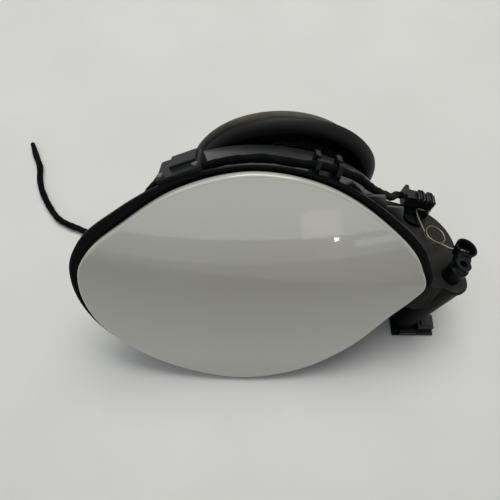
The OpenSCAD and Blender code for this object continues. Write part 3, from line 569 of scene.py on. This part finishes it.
# The pin's upper end, from -3.5 mm up, stands back in the lever's boss, so the boss shows a dark hole
PIN_END, PIN_SET_BACK = -3.5, 6.5
pin = merged("hinge_pin_ground", "hinge_pin", 0)
pin.data.materials.append(bright_steel)
reshaped(pin, lambda places: places - np.where(places[:, 2:] > PIN_END, (0, 0, PIN_SET_BACK), 0))

# Zinc-plated steel: pale grey with a faint yellow tinge in patches
zinc_steel = metal("zinc_plated_steel", 420.0, 4.0, "#5A5852", "#85827A", 0.3, 0.5)
for source in ("arm_screws", "striker_eye", "actuator_screws"):
    dress(source, zinc_steel)

# --- Toggle spring, its lever and its post
# The lever turns with the pin. Its cup holds one end of a coiled wire spring, whose hook goes round a fixed post, so
# that the flap snaps open and shut. Moulded lever, hard-drawn 1.6 mm wire.

# Acetal copolymer: slate black with a soft sheen
lever_plastic = moulded("slate_lever_plastic", "#030507", "#0B0E12", 0.34, 1.2, 0.04, Specular_IOR_Level=0.12)
lever = merged("spring_lever_moulding", "spring_lever", 0)

HUB_R, RINGS_FROM, RINGS_TO = 6.7, 7.3, 7.6


def smooth_hub(places):
    """The hub's three rings drawn in to its wall: points from 7.3 to 7.6 mm off the pin's axis go to 6.7 mm."""
    away = np.hypot(places[:, 0], places[:, 1])
    shrink = np.where((away > RINGS_FROM) & (away < RINGS_TO), HUB_R / away, 1.0)
    return np.stack([places[:, 0] * shrink, places[:, 1] * shrink, places[:, 2]], -1)


reshaped(lever, smooth_hub)
lever.data.materials.append(lever_plastic)

# A stepped rib on the front of the lever's neck, from the boss to the cup
NECK_RIB = [[0.6, 7.0, -0.55], [1.0, 10.2, -0.55], [4.4, 9.6, -0.55], [5.0, 12.4, -0.55]]
rib = tube("lever_neck_rib", hinge(NECK_RIB), 0.00075, 4)
rib.data.materials.append(lever_plastic)
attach(rib, "flap")
for source in ("spring_post", "plug_flange", "plug_cradle", "loom_clip"):
    dress(source, lever_plastic)

# The wire on the pin's own axes: a hook round the post, one turn and a quarter that rises 2 mm, and a leg to the cup
WIRE_R, COIL_R, COIL_RISE = 0.8, 7.5, 2.0
COIL_AT = (-9.7, 30.2, -11.5)
COIL_START, COIL_END = 172, 627
hook = np.array([[-8.6, 54.6, -11.2], [-11.2, 53.3, -11.4], [-14.2, 53.0, -11.5], [-17.4, 53.6, -11.5],
                 [-20.0, 52.8, -11.5], [-20.9, 50.2, -11.5], [-20.6, 45.5, -11.5], [-19.2, 39.0, -11.5]])
turn = np.arange(COIL_START, COIL_END, 10.0)
coil = np.stack([COIL_AT[0] + COIL_R * np.cos(np.radians(turn)), COIL_AT[1] + COIL_R * np.sin(np.radians(turn)),
                 COIL_AT[2] + (turn - COIL_START) / (COIL_END - COIL_START) * COIL_RISE], -1)
leg = np.array([[-5.6, 21.3, -9.2], [-1.8, 18.8, -8.2], [1.6, 17.2, -6.2], [4.4, 16.3, -4.7], [7.6, 15.6, -4.2],
                [10.4, 15.2, -4.1]])
wire, _ = resampled(hinge(eased(np.vstack([hook, coil, leg]), 4)), 0.0008)
from_tip = np.minimum(np.arange(len(wire)), np.arange(len(wire))[::-1])
spring = tube("toggle_spring_wire", wire, WIRE_R / 1000 * np.sqrt(np.clip((from_tip + 0.15) / 1.4, 0, 1)), 14)
spring.data.materials.append(spring_steel)
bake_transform(spring)
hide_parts("toggle_spring")

# --- Plugs and their wires
# The loom's plug sits on a round seat on the pocket's plate. A two-way plug with two thin wires lies in its cradle at
# the foot of the limb. Both are moulded in dark grey nylon.

# Nylon: dark grey, satin
plug_nylon = moulded("grey_plug_nylon", "#101214", "#232526", 0.4, 1.0, 0.03, Specular_IOR_Level=0.28)
upper_plug = merged("upper_plug_moulding", "upper_plug", 0.35)
upper_plug.data.materials.append(plug_nylon)

# Two square hoops moulded on the upper plug, each 4.4 mm wide, up its near side and over its top
HOOP = np.array([[0, 54.2, -9.5], [0, 54.2, -4], [0, 54.2, -2.6], [0, 55.6, -2.2], [0, 61.4, -2.2], [0.6, 62.6, -2.2],
                 [3.8, 62.6, -2.2], [4.4, 61.4, -2.2], [4.4, 55.6, -2.2], [4.4, 54.2, -2.6], [4.4, 54.2, -4],
                 [4.4, 54.2, -9.5]])
for name, x in (("upper_plug_hoop_one", -23.4), ("upper_plug_hoop_two", -16.4)):
    hoop = tube(name, hinge(HOOP + (x, 0, 0)), 0.0008, 8)
    hoop.data.materials.append(plug_nylon)
    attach(hoop, "root")
lower_plug = merged("lower_plug_moulding", "lower_plug", 0.35)
lower_plug.data.materials.append(plug_nylon)

# Soft PVC insulation: black with a low sheen
lead_pvc = moulded("soft_pvc", "#060607", "#101011", 0.35, 0.9, 0.02, Specular_IOR_Level=0.25)
LEADS = np.array([[139.6, 8.8, 7.6], [141.4, 11.6, 10.4], [142, 15, 15], [141.2, 17.8, 21], [140.5, 18.6, 26],
                  [139.8, 18.4, 29.6]])
for name, x in (("lead_one", 0), ("lead_two", -2.4)):
    route, _ = resampled((eased(LEADS + (x, 0, 0), 8) + HOME) / 1000, 0.0008)
    lead = tube(name, route, 0.0007, 12)
    lead.data.materials.append(lead_pvc)
    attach(lead, "root")
    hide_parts("plug_leads")

# --- Lock
# The electric lock on top of the bowl: a case with its motor, a stepped cover with two screws, the locking pin that
# slides into the flap's eye, and a rubber ring round the pin.

# Talc-filled polypropylene: dark grey with a fine grain
box_plastic = moulded("dark_box_plastic", "#0F1113", "#242626", 0.4, 1.3, 0.05, Specular_IOR_Level=0.18)
for source in ("actuator_case", "actuator_cover"):
    box = merged(source + "_moulding", source, 0.5)
    box.data.materials.append(box_plastic)
dress("lock_seal", seal_rubber)

# --- Flap
# An almond-shaped door: a pressed skin in warm off-white gloss with a soft crease from tip to tip and its edge turned
# down, bonded over a ribbed carrier.

# Grained polypropylene: dull dark grey
carrier_plastic = moulded("grained_carrier_plastic", "#222324", "#3A3A39", 0.55, 1.2, 0.06, Specular_IOR_Level=0.4)
carrier = merged("flap_carrier_moulding", "flap_carrier", 0.3)
carrier.data.materials.append(carrier_plastic)

# The flap's length and height, and its outline in hundredths of half of them
FLAP_SIZE = np.array([226.0, 172.0])
FLAP_SHAPE = np.array([
    [-99, -3.5], [-94, -38], [-74, -70], [-42.5, -95], [-5, -106], [32, -95], [64, -65], [85, -31], [95.5, -16],
    [101, -6], [96.5, 15], [71, 54.5], [37, 83.5], [2, 93], [-37, 80.5], [-67, 54.5], [-89.5, 29], [-96.5, 14]])
# The crease's place, turn, level and softness. The two domes that meet in it have one radius, and their tops lie this
# far above or below it on the face and this much out of its level
CREASE_Y, CREASE_TURN, CREASE_TOP, CREASE_SOFT = 12.5, math.radians(-7), 0.3, 0.012
DOME_R = 850.0
UPPER_Y, UPPER_LIFT = -36.0, 0.95
LOWER_Y, LOWER_LIFT = 4.0, 0.2
SKIN_EDGE, SKIN_WALL, ROLL = 9.6, 2.4, 1.7


def face_height(xy, depth):
    """Height of the skin over the panel: the soft minimum of two domes that meet at the crease, which is minus the
    softness times the log of the sum of e to the power of minus each dome's height over the softness."""
    c, s = math.cos(CREASE_TURN), math.sin(CREASE_TURN)
    x, y = c * xy[..., 0] + s * xy[..., 1], c * xy[..., 1] - s * xy[..., 0]
    top = CREASE_TOP - depth - DOME_R
    upper = top + UPPER_LIFT + np.sqrt(DOME_R ** 2 - x ** 2 - (y - CREASE_Y - UPPER_Y) ** 2)
    lower = top + LOWER_LIFT + np.sqrt(DOME_R ** 2 - x ** 2 - (y - CREASE_Y - LOWER_Y) ** 2)
    return -CREASE_SOFT * np.logaddexp(-upper / CREASE_SOFT, -lower / CREASE_SOFT)


outline = closed_curve(FLAP_SHAPE / 200 * FLAP_SIZE, 16)
way = np.roll(outline, -1, 0) - np.roll(outline, 1, 0)
out = np.stack([way[:, 1], -way[:, 0]], -1) / np.linalg.norm(way, axis=1)[:, None]


def skin_rows(inset, drops, depth, shares):
    """Rows of the skin: the outline moved in by the inset and shrunk by each share, at the face's height less each
    drop."""
    edge = outline - inset * out
    flat = shares[:, None, None] * edge[None]
    return np.concatenate([flat, (face_height(flat, depth) - drops[:, None])[..., None]], -1)


face_shares = np.concatenate([np.linspace(0.015, 0.97, 60), np.linspace(0.98, 1.0, 4)])
face = skin_rows(ROLL, np.zeros_like(face_shares), 0, face_shares)
rolled = np.concatenate([skin_rows(ROLL * (1 - math.sin(b)), np.array([ROLL * (1 - math.cos(b))]), 0, np.ones(1))
                         for b in np.radians(np.linspace(9, 90, 10))])
foot = np.array([[0.0, -SKIN_EDGE + 0.5], [0.15, -SKIN_EDGE + 0.15], [0.5, -SKIN_EDGE], [SKIN_WALL - 0.5, -SKIN_EDGE],
                 [SKIN_WALL - 0.1, -SKIN_EDGE + 0.3]])
turned_down = np.stack([np.concatenate([outline - a * out, np.full((len(outline), 1), z)], -1) for a, z in foot])
inside_shares = np.linspace(1.0, 0.015, 24)
inside = skin_rows(SKIN_WALL, np.zeros_like(inside_shares), SKIN_WALL, inside_shares)
skin = surface("flap_skin_pressing", panel(np.concatenate([face, rolled, turned_down, inside])))

# Gloss car paint over primer: warm off-white under clear lacquer, with the faint orange peel of a sprayed surface and
# a few specks of dust. The peel is about two millimetres across
skin_paint, tree, shader, where = start_finish("off_white_car_paint", Roughness=0.24, Coat_Weight=1.0,
                                               Coat_Roughness=0.03, Coat_IOR=1.5)
peel = put(tree, "TexNoise", {"Scale": 420.0, "Detail": 2.0}, {"Vector": where})
cloud = put(tree, "TexNoise", {"Scale": 14.0, "Detail": 2.0}, {"Vector": where})
grit = put(tree, "TexVoronoi", {"Scale": 60.0}, {"Vector": where})
speck = put(tree, "MapRange", {"From Min": 0.035, "From Max": 0.02, "To Max": 0.5}, {"Value": grit.outputs["Distance"]})
paint = between(tree, "#B3B1A7", "#B9B8AE", cloud.outputs["Fac"])
raised = put(tree, "Bump", {"Strength": 0.04, "Distance": 0.0002}, {"Height": peel.outputs["Fac"]})
feed(tree, shader, Base_Color=between(tree, paint, "#8C887C", speck.outputs["Result"]),
     Coat_Normal=raised.outputs["Normal"])
skin.data.materials.append(skin_paint)
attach(skin, "flap")
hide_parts("flap_skin")
